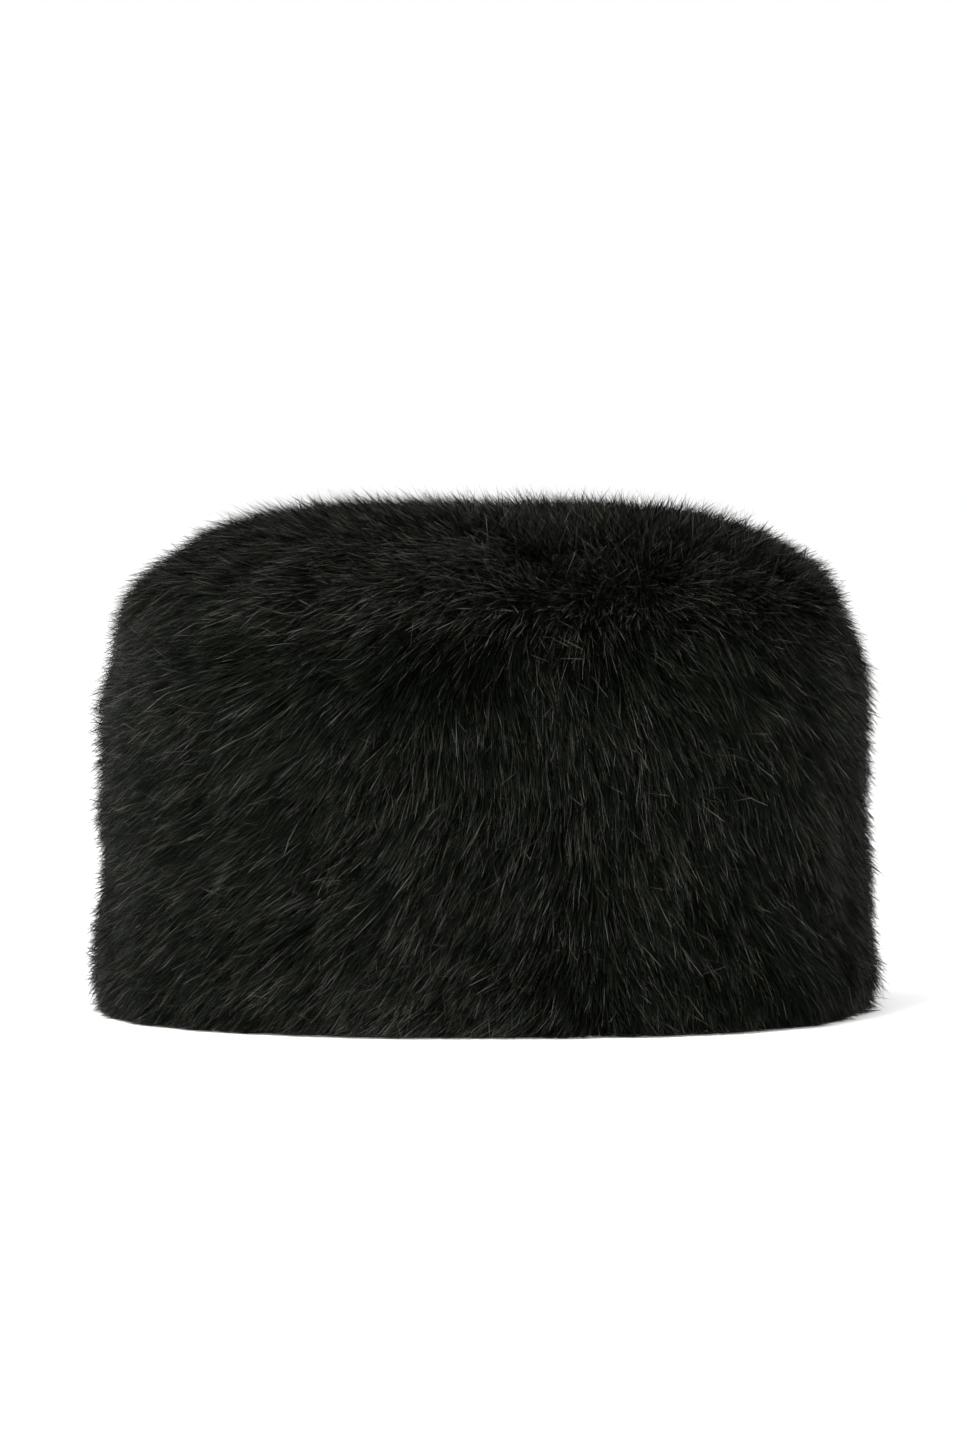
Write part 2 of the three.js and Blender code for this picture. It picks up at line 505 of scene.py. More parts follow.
@dataclass(frozen=True)
class UnrulyArea:
    """The part of the crown where the fur is unruly, towards the front left as worn.

    Args:
        strength: how much more unruly it is there than on the band.
        rise: the heights between which it sets in, as shares of the hat's.
        across: the same from the wearer's right to the left, as shares of the half width.
        forward: the same from back to front, as shares of the half depth.
    """

    strength: float = 1.3
    rise: tuple[float, float] = (0.76, 0.86)
    across: tuple[float, float] = (-0.2, 0.25)
    forward: tuple[float, float] = (-0.3, 0.3)

    def at(self, places: Places, form: HatForm) -> Array:
        """How unruly the fur is at each place: 1 on the band, and more in this area."""
        x, y, z = (places.point / (form.half_width, form.half_depth, form.height)).T
        return 1 + self.strength * eased(z, *self.rise) * eased(x, *self.across) * eased(-y, *self.forward)


@dataclass(frozen=True)
class Ledge:
    """The crown's overhang and the hollow under it, which are strongest towards the front.

    Args:
        heights: of the overhang and of the hollow, as shares of the hat's height.
        sizes: how far the overhang stands out, and how deep the hollow is.
        reaches: how far each reaches up and down, as shares.
        behind: how much of them is left at the back.
        turned: how far round from the front they are strongest, in radians.
        fading: the shares of the way to there between which they set in.
    """

    heights: tuple[float, float] = (0.82, 0.7)
    sizes: tuple[float, float] = (0.0016, 0.0035)
    reaches: tuple[float, float] = (0.05, 0.055)
    behind: float = 0.3
    turned: float = 0.5
    fading: tuple[float, float] = (-0.1, 0.7)

    def at(self, places: Places, height: float) -> Array:
        """How far the fur stands out at each place on a hat of that height."""
        share = places.point[:, 2] / height
        front = self.behind + (1 - self.behind) * eased(-np.sin(places.bearing + self.turned), *self.fading)
        overhang, hollow = (
            size * bulge(share, middle, reach)
            for size, middle, reach in zip(self.sizes, self.heights, self.reaches, strict=True)
        )
        return (overhang - hollow) * front


@dataclass(frozen=True)
class LooseHair:
    """How loose hairs differ from the others of their kind.

    Args:
        length: their length against the others'.
        turn: how much further they stray.
        lift: how much further off their tips stand, on average.
        hold: how strongly tufts hold them against the others.
    """

    length: float = 0.8
    turn: float = 2.1
    lift: float = 0.002
    hold: float = 0.15


@dataclass
class Fur:
    """Grows hairs out of the hat.

    Args:
        form: the outer form that the tips reach.
        comb: the way they lie.
        ledge: the crown's overhang and the hollow under it.
        unruly: where the fur is unruly.
        loose_hair: how loose hairs differ from the rest.
        swells: where the fur stands out or falls in, and by how far: the parting at the hem, and the
            fuller shoulder on the wearer's left.
        painted_light_and_shade: patches of painted shade and painted light, where the fur's colour is darker
            or lighter than elsewhere.
        stiffness: how straight a hair stays where the surface curves away under it.
        lengths: the least and the most of its kind's reach that a hair has.
        wild_cut: how much shorter unruly hairs are, for each step of unruliness.
        patchy_length: how much the length varies from place to place.
        swing: how far neighbouring hairs turn together, in degrees.
        lie_over: how late along its length a hair lies over.
        uneven: how far the broad and the narrow swells stand off the even form.
        crown_release: how much less strongly tufts hold on the crown.
        crown_rise: the heights between which that sets in, as shares.
        clump: how much neighbouring hairs share their shade.
        full_sheen: the noise at which a patch of sheen is at its lightest.
        sheen: how far such a patch lightens the fur.
        matt: how far the fur is darkened everywhere.
        contrast: how strongly a place's tone moves its hairs' shades.
        darkest: the least exponent that this gives.
        black_end: the lightest shade of a black hair, up near the light grey of the painted glints.
        gold_shades: the shades of brown-gold hairs.
        seed: picks every random choice.
        clear: how far hairs stay above the table.
        spread: how far hairs that meet the table are bent out along it.
        settle: how far under it they would reach when they are bent out by most of that.
        pile: how far they pile up on it, as a share of what would reach under it.
        guide: the kind of hair that tufts' middle lines are.
    """

    form: HatForm
    comb: Comb
    ledge: Ledge = Ledge()
    unruly: UnrulyArea = UnrulyArea()
    loose_hair: LooseHair = LooseHair()
    swells: tuple[Patch, ...] = (Patch(286.5, 0.08, 2.2, 0.18, -0.003), Patch(330, 0.92, 45, 0.07, 0.002))
    # Painted shade in the hollow under the crown's overhang and below it, low on the front right, at the
    # hem's corner there and in the parting; painted sheen low on the front and halfway up on the front right;
    # painted light over the front of the crown.
    painted_light_and_shade: tuple[Patch, ...] = (
        Patch(279, 0.75, 50, 0.075, -0.42),
        Patch(275, 0.62, 26, 0.16, -0.06),
        Patch(308, 0.2, 20, 0.25, -0.2),
        Patch(328, 0.06, 14, 0.12, -0.45),
        Patch(287, 0.12, 4, 0.2, -0.15),
        Patch(262, 0.09, 16, 0.11, 0.4),
        Patch(322, 0.4, 7, 0.08, 0.55),
        Patch(286, 0.93, 44, 0.09, 2.1),
    )
    stiffness: float = 0.14
    lengths: tuple[float, float] = (0.7, 1.2)
    wild_cut: float = 0.3
    patchy_length: float = 0.12
    swing: float = 8.0
    lie_over: float = 1.15
    uneven: tuple[float, float] = (0.0009, 0.0012)
    crown_release: float = 0.5
    crown_rise: tuple[float, float] = (0.75, 0.9)
    clump: float = 0.1
    full_sheen: float = 2.2
    sheen: float = 3.0
    matt: float = 0.8
    contrast: float = 1.6
    darkest: float = 0.15
    black_end: float = 0.9
    gold_shades: tuple[float, float] = (0.93, 0.995)
    seed: int = 11
    clear: float = 0.0004
    spread: float = 0.003
    settle: float = 0.012
    pile: float = 0.06
    guide: HairKind = HairKind(
        count=0, reach=0.027, depth=0.0115, radius=0.0, stations=(0.0, 0.33, 0.67, 1.0), stray=9.0, loose=0.0
    )

    def __post_init__(self) -> None:
        """Sets out the noise that neighbouring hairs share, and the tufts."""
        self.draw = np.random.default_rng(self.seed)
        self.swerve = Ripple(wavelength=0.05, seed=3)
        self.fine_swerve = Ripple(wavelength=0.016, seed=4)
        self.unevenness = Ripple(wavelength=0.03, seed=5)
        self.swell = Ripple(wavelength=0.045, seed=6)
        self.patches = Ripple(wavelength=0.022, seed=7)
        self.clumps = Ripple(wavelength=0.008, seed=8)
        self.tufts = [
            self.make_tufts(count=900, strength=0.34, start=0.2),
            self.make_tufts(count=12000, strength=0.42, start=0.7),
        ]

    def make_tufts(self, count: int, strength: float, start: float) -> Tufts:
        """Tufts of one size, spread over the whole hat."""
        roots = self.form.scatter(count, 0.0, start)
        return Tufts(self.grow(roots, self.guide)[0], self.guide.stations, strength)

    def stand(self, places: Places) -> Array:
        """How far the fur's own unevenness stands off the even form."""
        broad, narrow = self.uneven
        uneven = broad * self.swell.at(places.point) + narrow * self.patches.at(places.point)
        swells = sum(swell.at(places, self.form.height) for swell in self.swells)
        return uneven + self.ledge.at(places, self.form.height) + swells

    def grow(self, roots: Places, kind: HairKind) -> tuple[Array, Array]:
        """Hairs as knots in space.

        Args:
            roots: the places over the roots.
            kind: the kind of hair.

        Returns:
            Knots by hair, station and axis, and which hairs are loose.
        """
        count = len(roots.point)
        wild = self.unruly.at(roots, self.form)
        loose = self.draw.random(count) < kind.loose
        length = kind.reach * self.draw.uniform(*self.lengths, count)
        length *= 1 + self.wild_cut - self.wild_cut * wild
        patchy = 1 + self.patchy_length * self.unevenness.at(roots.point)
        length *= patchy * self.comb.freedom(roots.point)
        length *= np.where(loose, self.loose_hair.length, 1.0)
        turn = self.draw.normal(0, math.radians(kind.stray), count) * wild
        turn *= np.where(loose, self.loose_hair.turn, 1.0)
        swerve = self.swerve.at(roots.point) + self.fine_swerve.at(roots.point) * wild
        turn += math.radians(self.swing) * swerve
        lift = kind.lift + self.draw.normal(0, kind.scatter, count)
        further = np.where(loose, self.draw.exponential(self.loose_hair.lift, count), 0)
        lift = np.minimum(lift + further, kind.highest)
        bow = self.draw.normal(0, kind.curl, count) * wild
        first_flow = self.comb.flow(roots, turn)
        place, flow = roots, first_flow
        knots = [roots.point - roots.normal * kind.depth]
        lateral = np.array(kind.stations) ** self.lie_over
        for before, here, share in zip(lateral, lateral[1:], kind.stations[1:], strict=False):
            place = self.form.nearest(place.point + flow * (length * (here - before))[:, None])
            flow = self.comb.flow(place, turn)
            climb = 1 - (1 - share) ** kind.rise
            height = (-kind.depth + (kind.depth + lift + self.stand(place)) * climb)[:, None]
            wrapped = place.point + place.normal * height
            straight = roots.point + first_flow * (length * here)[:, None] + roots.normal * height
            sideways = np.cross(place.normal, flow) * (bow * length * share * share)[:, None]
            knots.append(wrapped + (straight - wrapped) * self.stiffness + sideways)
        return self.on_table(np.stack(knots, axis=1), roots), loose

    def coat(self, roots: Places, kind: HairKind) -> Array:
        """Hairs drawn together in tufts."""
        knots, loose = self.grow(roots, kind)
        held = self.draw.uniform(*kind.held, len(knots)) * np.where(loose, self.loose_hair.hold, 1.0)
        share = roots.point[:, 2] / self.form.height
        held *= 1 - self.crown_release * eased(share, *self.crown_rise)
        for tufts in self.tufts:
            knots = tufts.gather(knots, kind, held)
        return knots

    def on_table(self, knots: Array, roots: Places) -> Array:
        """Bends what would go through the table outwards along it."""
        under = np.maximum(self.clear - knots[:, :, 2], 0)
        outward = unit(roots.normal * (1, 1, 0))
        settled = knots + outward[:, None] * (self.spread * np.tanh(under / self.settle))[:, :, None]
        settled[:, :, 2] = np.maximum(knots[:, :, 2], self.clear) + self.pile * under
        return settled

    def shades(self, roots: Places, gold: float) -> Array:
        """Each hair's shade, from 0, the deepest black, to 1, brown-gold.

        Args:
            roots: the places over the roots.
            gold: the share of hairs that are brown-gold.

        Returns:
            The shades.
        """
        count = len(roots.point)
        mirrored = roots.point[:, ::-1]
        sheen = eased(self.swell.at(mirrored) + self.patches.at(mirrored), 0, self.full_sheen)
        regions = self.clump * (self.sheen * sheen - self.matt)
        regions += self.clump * self.clumps.at(roots.point)
        # painted shade and painted light, patch by patch, in the hairs' colours
        regions += sum(tone.at(roots, self.form.height) for tone in self.painted_light_and_shade)
        lightness = np.maximum(1 + self.contrast * regions, self.darkest)
        shade = self.draw.random(count) ** (1 / lightness) * self.black_end
        golden = self.draw.random(count) < gold * (1 + regions)
        shade[golden] = self.draw.uniform(*self.gold_shades, golden.sum())
        return shade


@dataclass
class Strands:
    """Hairs as thin pointed blades, ready to be joined into a mesh.

    Args:
        roll: how far blades are turned about their length, in radians.
        thickness: the least and the most of its kind's radius that a blade has.
        taper: how thick a blade is at its second bend, against its first.
        margins: where a blade's two edges lie across its column of the map.
        points: the vertices so far.
        corners: the triangles so far.
        spots: each vertex's place on the map.
        held: how many vertices there are.
    """

    roll: float = 0.7
    thickness: tuple[float, float] = (0.6, 1.3)
    taper: float = 0.75
    margins: tuple[float, float] = (0.2, 0.8)
    points: list[Array] = field(default_factory=list)
    corners: list[Array] = field(default_factory=list)
    spots: list[Array] = field(default_factory=list)
    held: int = 0

    def add(
        self, knots: Array, outward: Array, kind: HairKind, shade: Array, draw: np.random.Generator
    ) -> None:
        """Adds hairs.

        Args:
            knots: their knots.
            outward: the way out of the hat at each.
            kind: their kind.
            shade: each hair's shade.
            draw: picks how thick each is and how it is turned.
        """
        count, stations = knots.shape[:2]
        tangent = unit(np.gradient(knots, axis=1))
        aside = unit(np.cross(tangent, outward[:, None]))
        side = rotated(aside, tangent, draw.normal(0, self.roll, (count, 1, 1)))
        side *= kind.radius * draw.uniform(*self.thickness, (count, 1, 1))
        middle = sum(self.margins) / 2
        parts, ways = [knots[:, :1]], [(middle, 0.0)]
        for ring in range(1, stations - 1):
            reach = side[:, ring : ring + 1] * (1.0 if ring == 1 else self.taper)
            parts += [knots[:, ring : ring + 1] - reach, knots[:, ring : ring + 1] + reach]
            ways += [(margin, kind.stations[ring]) for margin in self.margins]
        parts.append(knots[:, -1:])
        ways.append((middle, 1.0))
        points = np.concatenate(parts, axis=1)
        each = points.shape[1]
        first = self.held + np.arange(count)[:, None, None] * each
        lightest = 0.999  # inside the last column
        column = np.floor(shade.clip(0, lightest) * SHADE_COLUMNS)[:, None]
        way = np.array(ways)
        across = (column + way[:, 0]) / SHADE_COLUMNS
        self.points.append(points.reshape(-1, 3))
        self.corners.append((np.array(self.faces(each)) + first).reshape(-1, 3))
        self.spots.append(np.stack([across, np.broadcast_to(way[:, 1], across.shape)], axis=2).reshape(-1, 2))
        self.held += count * each

    @staticmethod
    def faces(each: int) -> list[tuple[int, int, int]]:
        """The triangles of one hair of so many vertices: root, pairs, tip."""
        faces = [(0, 2, 1)]
        for low in range(1, each - 3, 2):
            faces += [(low, low + 1, low + 3), (low, low + 3, low + 2)]
        return [*faces, (each - 3, each - 2, each - 1)]

    def join(self, name: str, material: bpy.types.Material) -> bpy.types.Object:
        """The hairs as one smooth mesh object, with their map."""
        corners = np.concatenate(self.corners).astype(np.int32)
        mesh = bpy.data.meshes.new(name)
        mesh.vertices.add(self.held)
        mesh.vertices.foreach_set("co", np.concatenate(self.points).astype(np.float32).ravel())
        mesh.loops.add(corners.size)
        mesh.loops.foreach_set("vertex_index", corners.ravel())
        mesh.polygons.add(len(corners))
        mesh.polygons.foreach_set("loop_start", np.arange(0, corners.size, 3, dtype=np.int32))
        mesh.polygons.foreach_set("use_smooth", np.ones(len(corners), dtype=bool))
        mesh.update(calc_edges=True)
        spots = np.concatenate(self.spots)[corners.ravel()]
        mesh.uv_layers.new(name=HAIR_MAP).data.foreach_set("uv", spots.astype(np.float32).ravel())
        mesh.materials.append(material)
        return placed(name, mesh)


class Signal:
    """A value in a shader, on which Python's operators add Math nodes."""

    def __init__(self, graph: Graph, socket: bpy.types.NodeSocket) -> None:
        """Wraps an output socket of a graph."""
        self.graph, self.socket = graph, socket

    def maths(self, operation: str, first: Any, second: Any = 0.0) -> Signal:
        """A Math node on two values, each a number or a signal."""
        node = self.graph.node("ShaderNodeMath", {"operation": operation}, {0: first, 1: second})
        return Signal(self.graph, node.outputs[0])

    def __add__(self, other: Any) -> Signal:
        """This plus other."""
        return self.maths("ADD", self, other)

    def __mul__(self, other: Any) -> Signal:
        """This times other."""
        return self.maths("MULTIPLY", self, other)

    def __pow__(self, other: Any) -> Signal:
        """This to the power of other."""
        return self.maths("POWER", self, other)

    __radd__ = __add__
    __rmul__ = __mul__


class Graph:
    """One material's shader nodes."""

    def __init__(self, name: str) -> None:
        """Starts an empty material."""
        self.material = bpy.data.materials.new(name)
        self.material.use_nodes = True
        self.tree = self.material.node_tree
        self.tree.nodes.clear()

    def node(
        self, kind: str, settings: Settings | None = None, inputs: Inputs | None = None
    ) -> bpy.types.Node:
        """Adds a node.

        Args:
            kind: Blender's name for the node's type.
            settings: its settings, which are set first. A ramp's stops are pairs of place and colour.
            inputs: values or signals for its sockets.

        Returns:
            The node.
        """
        node = self.tree.nodes.new(kind)
        for key, value in (settings or {}).items():
            if key == "stops":
                self.set_stops(node.color_ramp, value)
            else:
                setattr(node, key, value)
        for key, value in (inputs or {}).items():
            if isinstance(value, Signal):
                self.tree.links.new(value.socket, node.inputs[key])
            else:
                node.inputs[key].default_value = value
        return node

    def signal(self, kind: str, output: str | int, settings: Settings, inputs: Inputs) -> Signal:
        """Adds a node and returns one of its outputs."""
        return Signal(self, self.node(kind, settings, inputs).outputs[output])

    @staticmethod
    def set_stops(ramp: bpy.types.ColorRamp, stops: Sequence[tuple[float, Colour]]) -> None:
        """Gives a colour ramp its stops."""
        while len(ramp.elements) < len(stops):
            ramp.elements.new(1.0)
        for element, (place, colour) in zip(ramp.elements, stops, strict=True):
            element.position = place
            element.color = (*colour, 1.0)

    def mixed(self, blend: str, share: Any, first: Any, second: Any) -> Signal:
        """Two colours mixed, each a colour or a signal."""
        settings = {"data_type": "RGBA", "blend_type": blend}
        return self.signal("ShaderNodeMix", 2, settings, {0: share, 6: first, 7: second})

    def finish(self, sockets: Mapping[str, Any]) -> bpy.types.Material:
        """Ends the material in a Principled shader with these values on its sockets."""
        shader = self.node("ShaderNodeBsdfPrincipled", inputs=sockets)
        self.node("ShaderNodeOutputMaterial", inputs={"Surface": Signal(self, shader.outputs[0])})
        return self.material


@dataclass(frozen=True)
class HairFinish:
    """The finish of the hairs: greenish black, some brown-gold, painted glints, painted shade towards the
    roots.

    Args:
        name: the material's name.
        shades: stops of place on the map and colour, from the deepest black to brown-gold; the light grey
            stop at 0.91 is painted glints.
        shaded_root_share: how bright a hair is at its root against its tip: mostly painted shade deep in the
            fur, a little the tips' own lightness.
        climb: how late along a hair it brightens out of that painted shade.
        roughness: how widely its gloss spreads.
        gloss: its specular level.
        gloss_tint: the gloss's colour.
    """

    name: str
    shades: tuple[tuple[float, Colour], ...] = (
        (0.0, (0.0014, 0.0028, 0.0016)),
        (0.45, (0.0055, 0.0075, 0.005)),
        (0.68, (0.0165, 0.019, 0.0145)),
        (0.82, (0.061, 0.064, 0.055)),
        # painted glints: the lightest black hairs are light grey, standing in for gloss on black hair
        (0.91, (0.3, 0.293, 0.278)),
        (0.93, (0.045, 0.043, 0.025)),
        (1.0, (0.24, 0.23, 0.15)),
    )
    shaded_root_share: float = 0.05
    climb: float = 6.5
    roughness: float = 0.38
    gloss: float = 0.045
    gloss_tint: Paint = (0.86, 1.0, 0.74, 1.0)

    def material(self) -> bpy.types.Material:
        """Builds the material."""
        graph = Graph(self.name)
        where = graph.signal("ShaderNodeUVMap", "UV", {"uv_map": HAIR_MAP}, {})
        parts = graph.node("ShaderNodeSeparateXYZ", inputs={"Vector": where})
        shade, along = (Signal(graph, parts.outputs[axis]) for axis in "XY")
        ramp = graph.signal("ShaderNodeValToRGB", "Color", {"stops": self.shades}, {"Fac": shade})
        # painted shade: each hair darkens towards its root, deep in the fur
        light = self.shaded_root_share + (1 - self.shaded_root_share) * along**self.climb
        return graph.finish(
            {
                "Base Color": graph.mixed("MULTIPLY", 1.0, ramp, light),
                "Roughness": self.roughness,
                "Specular IOR Level": self.gloss,
                "Specular Tint": self.gloss_tint,
            }
        )


@dataclass(frozen=True)
class UnderfurFinish:
    """The finish of the dense short fur under the hairs, and of the plain face inside the hat.

    Args:
        name: the material's name.
        deep: its darkest colour.
        light: its lightest colour.
        grain: the fine noise's scale, and grain_detail and grain_roughness its other settings.
        patches: the broad noise's scale, and patch_detail its other setting.
        contrast: how strongly the two noises together lighten it.
        bump: how high the grain stands.
        roughness: how widely its gloss spreads.
        gloss: its specular level.
    """

    name: str
    deep: Paint = (0.0008, 0.0011, 0.0008, 1.0)
    light: Paint = (0.004, 0.0045, 0.0034, 1.0)
    grain: float = 420.0
    grain_detail: float = 3.0
    grain_roughness: float = 0.6
    patches: float = 45.0
    patch_detail: float = 2.0
    contrast: float = 1.6
    bump: float = 0.0008
    roughness: float = 0.9
    gloss: float = 0.05

    def material(self) -> bpy.types.Material:
        """Builds the material."""
        graph = Graph(self.name)
        where = graph.signal("ShaderNodeTexCoord", "Object", {}, {})
        grain = {
            "Vector": where,
            "Scale": self.grain,
            "Detail": self.grain_detail,
            "Roughness": self.grain_roughness,
        }
        patches = {"Vector": where, "Scale": self.patches, "Detail": self.patch_detail}
        fine = graph.signal("ShaderNodeTexNoise", 0, {}, grain)
        broad = graph.signal("ShaderNodeTexNoise", 0, {}, patches)
        bump = graph.signal("ShaderNodeBump", 0, {}, {"Strength": 1.0, "Distance": self.bump, "Height": fine})
        return graph.finish(
            {
                "Base Color": graph.mixed("MIX", fine * broad * self.contrast, self.deep, self.light),
                "Roughness": self.roughness,
                "Specular IOR Level": self.gloss,
                "Normal": bump,
            }
        )


@dataclass
class Underfur:
    """The dense fur under the hairs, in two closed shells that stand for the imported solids.

    Args:
        form: the hat's outer form.
        depth: how far the shells lie under it.
        head_width: the opening's width, and head_length and head_height its other sizes.
        hollow: rows of share of that height, and share of the opening's size there.
        seam_gap: the gap between the two shells.
        foot: how far above the table the band's shell starts.
        rings: how many ovals each shell's outer face is worked out at.
        segments: facets round the hat.
        relief: how uneven the shells are.
        relief_scale: how close together their bumps are.
        plain_rim: how far round the opening they stay even, as the square of a share of its size.
        plain_edge: how near the table and the top of the opening they stay even.
    """

    form: HatForm
    depth: float = 0.008
    head_width: float = 0.164
    head_length: float = 0.204
    head_height: float = 0.127
    hollow: tuple[tuple[float, float], ...] = (
        (0.0, 1.0),
        (0.43, 0.994),
        (0.75, 0.97),
        (0.89, 0.915),
        (0.97, 0.805),
        (1.0, 0.634),
    )
    seam_gap: float = 0.00035
    foot: float = 0.0002
    rings: int = 26
    segments: int = 112
    relief: float = 0.0018
    relief_scale: float = 55.0
    plain_rim: float = 1.02
    plain_edge: float = 0.001

    def outer(self, low: float, high: float) -> list[Oval]:
        """Outer ovals between two heights."""
        first, last = np.searchsorted(self.form.rise, (low, high))
        rows = np.linspace(first, min(last, self.form.samples - 1), self.rings)
        side = self.form.sample(rows, np.zeros(self.rings))
        end = self.form.sample(rows, np.full(self.rings, math.pi / 2))
        side_points = side.point - side.normal * self.depth
        end_points = end.point - end.normal * self.depth
        return list(zip(side_points[:, 0], end_points[:, 1], side_points[:, 2], strict=True))

    def inner(self, low: float, high: float) -> list[Oval]:
        """The opening's ovals between two heights, from the lower one up."""
        table = np.array(self.hollow) * (self.head_height, 1.0)
        inside = table[(table[:, 0] > low) & (table[:, 0] < high)]
        rows = [(height, np.interp(height, *table.T)) for height in (low, *inside[:, 0], high)]
        half_width, half_length = self.head_width / 2, self.head_length / 2
        return [(half_width * share, half_length * share, height) for height, share in rows]

    def loft(
        self, bm: bmesh.types.BMesh, edges: list[bmesh.types.BMEdge], ovals: Sequence[Oval]
    ) -> list[bmesh.types.BMEdge]:
        """Extrudes a ring of edges through ovals.

        Args:
            bm: the mesh.
            edges: the ring to start from.
            ovals: the new rings.

        Returns:
            The last ring.
        """
        for oval in ovals:
            made = bmesh.ops.extrude_edge_only(bm, edges=edges)["geom"]
            edges = [piece for piece in made if isinstance(piece, bmesh.types.BMEdge)]
            self.shape([piece for piece in made if isinstance(piece, bmesh.types.BMVert)], oval)
        return edges

    def shape(self, verts: Sequence[bmesh.types.BMVert], oval: Oval) -> None:
        """Puts a ring of vertices on an oval, each at its own angle."""
        for vert in verts:
            angle = vert[self.angle]
            vert.co = (oval[0] * math.cos(angle), oval[1] * math.sin(angle), oval[2])

    def close(self, bm: bmesh.types.BMesh, edges: list[bmesh.types.BMEdge]) -> None:
        """Draws a ring together in one point at its middle."""
        verts = list({vert for edge in edges for vert in edge.verts})
        middle = sum((vert.co for vert in verts), Vector()) / len(verts)
        bmesh.ops.pointmerge(bm, verts=verts, merge_co=middle)

    def started(self, oval: Oval) -> tuple[bmesh.types.BMesh, list[bmesh.types.BMEdge]]:
        """A new mesh with one ring of edges."""
        bm = bmesh.new()
        self.angle = bm.verts.layers.float.new("angle")
        bmesh.ops.create_circle(bm, cap_ends=False, radius=1.0, segments=self.segments)
        for vert in bm.verts:
            vert[self.angle] = math.atan2(vert.co.y, vert.co.x)
        self.shape(bm.verts, oval)
        return bm, list(bm.edges)

    def done(self, bm: bmesh.types.BMesh, name: str, material: bpy.types.Material) -> bpy.types.Object:
        """Roughens a shell's outer face and makes it an object."""
        bmesh.ops.recalc_face_normals(bm, faces=bm.faces)
        bm.normal_update()
        dimension, lacunarity, octaves = 1.0, 2.0, 3
        moves = {}
        for vert in bm.verts:
            x, y, z = vert.co
            outward = vert.normal.dot(Vector((x, y, z - self.form.seam / 2)))
            inside = (x * 2 / self.head_width) ** 2 + (y * 2 / self.head_length) ** 2 < self.plain_rim
            hidden = inside and z < self.head_height + self.plain_edge
            if outward > 0 and not hidden and abs(z) > self.plain_edge:
                height = noise.fractal(vert.co * self.relief_scale, dimension, lacunarity, octaves)
                moves[vert] = vert.normal * self.relief * height
        for vert, move in moves.items():
            vert.co += move
        mesh = bpy.data.meshes.new(name)
        bm.to_mesh(mesh)
        bm.free()
        mesh.polygons.foreach_set("use_smooth", np.ones(len(mesh.polygons), dtype=bool))
        mesh.materials.append(material)
        return placed(name, mesh)

    def band(self, name: str, material: bpy.types.Material) -> bpy.types.Object:
        """The side band's shell, from the table to the seam."""
        top = self.form.seam - self.seam_gap
        walls = self.outer(0.0, top)
        bm, edges = self.started((*walls[0][:2], self.foot))
        upper = self.loft(bm, edges, [*walls[1:-1], (*walls[-1][:2], top)])
        lower = self.loft(bm, edges, self.inner(self.foot, top))
        bmesh.ops.bridge_loops(bm, edges=upper + lower)
        return self.done(bm, name, material)

    def crown(self, name: str, material: bpy.types.Material) -> bpy.types.Object:
        """The crown's shell, from the seam to the top."""
        dome = self.outer(self.form.seam, self.form.height)
        bm, edges = self.started((*dome[0][:2], self.form.seam))
        self.close(bm, self.loft(bm, edges, dome[1:-1]))
        self.close(bm, self.loft(bm, edges, self.inner(self.form.seam, self.head_height)))
        return self.done(bm, name, material)


class Part(Enum):
    """The pieces of fur: name, whether crown or band fur, and the bearings that each covers. Right is +X."""

    CROWN_FRONT = ("crown_fur_front", "crown_fur", 210, 330)
    CROWN_RIGHT = ("crown_fur_right", "crown_fur", 330, 450)
    CROWN_LEFT = ("crown_fur_left", "crown_fur", 90, 210)
    RIGHT = ("band_fur_right", "band_fur", 315, 405)
    BACK = ("band_fur_back", "band_fur", 45, 135)
    LEFT = ("band_fur_left", "band_fur", 135, 225)
    FRONT = ("band_fur_front", "band_fur", 225, 315)

    @property
    def title(self) -> str:
        """The piece's name."""
        return self.value[0]

    @property
    def slot(self) -> str:
        """Whether the piece is crown fur or band fur."""
        return self.value[1]

    def holds(self, places: Places, seam: float) -> Array:
        """Which places belong to the piece."""
        on_crown = places.point[:, 2] > seam
        first, last = self.value[2:]
        turned = (np.degrees(places.bearing) - first) % 360
        return (on_crown == (self.slot == "crown_fur")) & (turned < last - first)


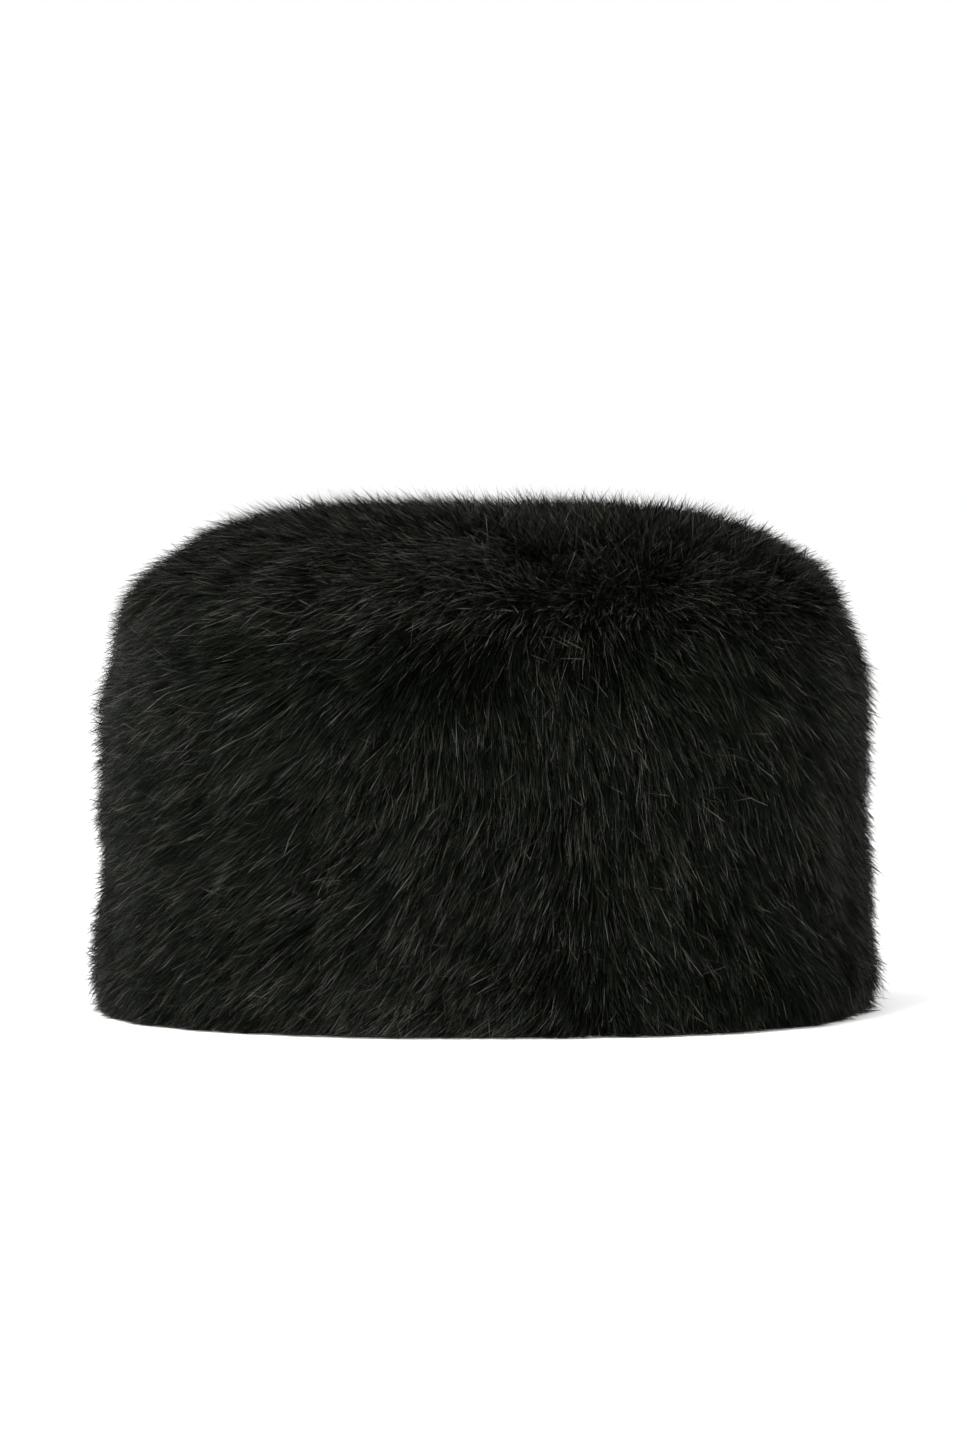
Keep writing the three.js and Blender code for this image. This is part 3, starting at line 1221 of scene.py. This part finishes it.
@dataclass
class FurHat:
    """The whole hat.

    Args:
        form: its outer form.
        kinds: the kinds of hair: long curved guard hairs, and shorter fuzz between them.
        front_share: how much denser the fur is at the front than at the back.
        gold: the share of brown-gold hairs.
        shift: how far the pattern of roots is shifted from one kind to the next.
        pieces: the finished pieces.
    """

    form: HatForm
    kinds: tuple[HairKind, ...] = (
        HairKind(
            count=44000, reach=0.02, depth=0.011, radius=0.00013, stations=(0.0, 0.36, 0.7, 1.0), stray=14.0
        ),
        HairKind(
            count=380000, reach=0.013, depth=0.0085, radius=0.00012, stations=(0.0, 0.5, 1.0), stray=19.0
        ),
    )
    front_share: float = 0.15
    gold: float = 0.03
    shift: float = 0.37
    pieces: list[bpy.types.Object] = field(default_factory=list)

    def keep(self, piece: bpy.types.Object) -> None:
        """Lets a finished piece ride on the hat."""
        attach(piece, BODY)
        self.pieces.append(piece)
        LOG.info("%s: %d faces", piece.name, len(piece.data.polygons))

    def build_underfur(self) -> None:
        """Makes the two shells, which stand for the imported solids."""
        shells = Underfur(self.form)
        material = UnderfurFinish("underfur").material()
        for piece, node, slot in (
            (shells.band("band_underfur", material), "side_band", "band_fur"),
            (shells.crown("crown_underfur", material), "crown", "crown_fur"),
        ):
            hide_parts(node)
            self.keep(piece)

    def build_fur(self) -> None:
        """Grows the hairs of every piece."""
        fur = Fur(self.form, Comb(self.form))
        material = HairFinish("black_hair").material()
        strands = {part: Strands() for part in Part}
        for order, kind in enumerate(self.kinds):
            roots = self.form.scatter(kind.count, self.front_share, order * self.shift)
            knots = fur.coat(roots, kind)
            shade = fur.shades(roots, self.gold)
            for part in Part:
                held = part.holds(roots, self.form.seam)
                strands[part].add(knots[held], roots.normal[held], kind, shade[held], fur.draw)
        for part in Part:
            self.keep(strands[part].join(part.title, material))


@dataclass(frozen=True)
class Lamp:
    """A soft round lamp.

    Args:
        name: the lamp's name.
        place: where it stands.
        size: its diameter.
        power: its power in watts.
        colour: its colour.
    """

    name: str
    place: tuple[float, float, float]
    size: float
    power: float
    colour: Colour = (1.0, 1.0, 1.0)

    def light(self, target: Vector) -> None:
        """Hangs the lamp, turned towards a target."""
        data = bpy.data.lights.new(self.name, "AREA")
        data.shape, data.size, data.energy, data.color = "DISK", self.size, self.power, self.colour
        lamp = placed(self.name, data)
        lamp.location = self.place
        lamp.rotation_euler = (target - lamp.location).to_track_quat("-Z", "Y").to_euler()


@dataclass
class Studio:
    """The pale floor, the soft light and the camera.

    Args:
        distance: how far the camera stands from the hat's middle.
        elevation: how high it looks down from, in degrees.
        view_height: how much of the hat's plane the picture's height takes in.
        aim: the point at the picture's middle.
        sensor: the height of the camera's sensor, in millimetres.
        floor_size: the floor's length and width.
        floor_colour: its colour.
        floor_roughness: how widely its gloss spreads.
        floor_glow: how much the floor shines by itself, so that it stays white in soft shadow.
        room_light: how bright the room itself is.
        lamps: the soft lamps.
    """

    distance: float = 2.4
    elevation: float = 2.0
    view_height: float = 0.4531
    aim: tuple[float, float, float] = (-0.0003, 0.0, 0.0881)
    sensor: float = 36.0
    floor_size: float = 40.0
    floor_colour: Paint = (0.92, 0.92, 0.915, 1.0)
    floor_roughness: float = 0.9
    floor_glow: float = 0.22
    room_light: float = 1.0
    lamps: tuple[Lamp, ...] = (
        Lamp("key", (-0.7, -1.5, 1.7), 0.9, 75.0),
        Lamp("fill", (1.6, -1.4, 0.9), 1.2, 14.0),
        Lamp("rim", (-1.4, 1.2, 1.3), 1.0, 12.0),
    )

    def build_camera(self) -> None:
        """Sets the camera at the photograph's angle."""
        data = bpy.data.cameras.new("camera")
        data.sensor_width = self.sensor
        data.lens = self.sensor * self.distance / self.view_height
        camera = placed("camera", data)
        tilt = math.radians(self.elevation)
        back = Vector((0.0, -math.cos(tilt), math.sin(tilt)))
        camera.location = Vector(self.aim) + back * self.distance
        camera.rotation_euler = (-back).to_track_quat("-Z", "Y").to_euler()
        bpy.context.scene.camera = camera

    def build_floor(self) -> None:
        """Lays the pale floor."""
        bm = bmesh.new()
        bmesh.ops.create_grid(bm, x_segments=1, y_segments=1, size=self.floor_size / 2)
        mesh = bpy.data.meshes.new("floor")
        bm.to_mesh(mesh)
        bm.free()
        paint = {
            "Base Color": self.floor_colour,
            "Roughness": self.floor_roughness,
            "Emission Color": WHITE,
            "Emission Strength": self.floor_glow,
        }
        mesh.materials.append(Graph("pale_floor").finish(paint))
        floor = placed("floor", mesh)

    def build_light(self) -> None:
        """Lights the room evenly, with soft lamps on top."""
        world = bpy.data.worlds.new("studio")
        world.use_nodes = True
        background = world.node_tree.nodes["Background"]
        background.inputs["Color"].default_value = WHITE
        background.inputs["Strength"].default_value = self.room_light
        bpy.context.scene.world = world
        for lamp in self.lamps:
            lamp.light(Vector(self.aim))
        bpy.context.scene.view_settings.view_transform = "Standard"

    def build(self) -> None:
        """Sets up everything round the hat."""
        self.build_camera()
        self.build_floor()
        self.build_light()


def form_from_frame(inset: float, top_insets: float) -> HatForm:
    """The hat's outer form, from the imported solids.

    Args:
        inset: how far the even form lies inside them, because loose tips stand off it.
        top_insets: how many times as far its top lies inside theirs.

    Returns:
        The form.
    """
    band_low, band_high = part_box("side_band")
    crown_low, crown_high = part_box("crown")
    half_width = max(-band_low.x, band_high.x) - inset
    half_depth = max(-band_low.y, band_high.y) - inset
    return HatForm(half_width, half_depth, crown_high.z - top_insets * inset, crown_low.z)


def main() -> None:
    """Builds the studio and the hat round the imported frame."""
    logging.basicConfig(level=logging.INFO, format="%(name)s: %(message)s")
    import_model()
    Studio().build()
    hat = FurHat(form_from_frame(inset=0.0008, top_insets=2.5))
    hat.build_underfur()
    hat.build_fur()
    LOG.info("pieces: %d", len(hat.pieces))


if __name__ == "__main__":
    main()
